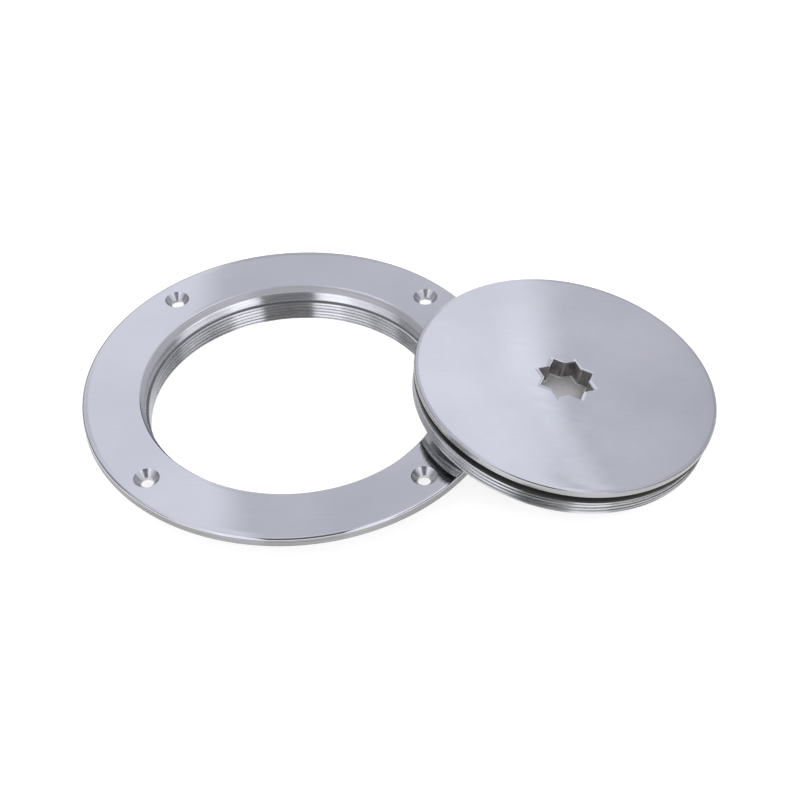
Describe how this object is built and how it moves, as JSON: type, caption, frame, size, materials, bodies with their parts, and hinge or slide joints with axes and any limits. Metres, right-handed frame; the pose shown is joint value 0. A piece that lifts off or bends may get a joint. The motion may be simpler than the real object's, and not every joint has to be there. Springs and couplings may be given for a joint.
{
  "type": "deck inspection plate",
  "caption": "Screw-in deck plate: a flanged ring with a threaded collar and countersunk holes, and its threaded cover with a star key socket and rubber seal, taken off and leaning on the ring.",
  "frame": {"origin": "on the ring's axis, in the underside of the flange that lies on the deck", "axes": "+Z out of the deck along the ring's axis, +X towards the side on which the cover leans, with the screw holes at 45 degrees to X and Y"},
  "size_m": [0.2689, 0.18, 0.0361],
  "materials": {
    "ring_steel": "polished stainless steel",
    "cover_steel": "polished stainless steel",
    "seal_rubber": "matt black rubber"
  },
  "bodies": {
    "root": {"deck_ring": "ring_steel", "cover": "cover_steel", "seal_ring": "seal_rubber"}
  },
  "joints": []
}
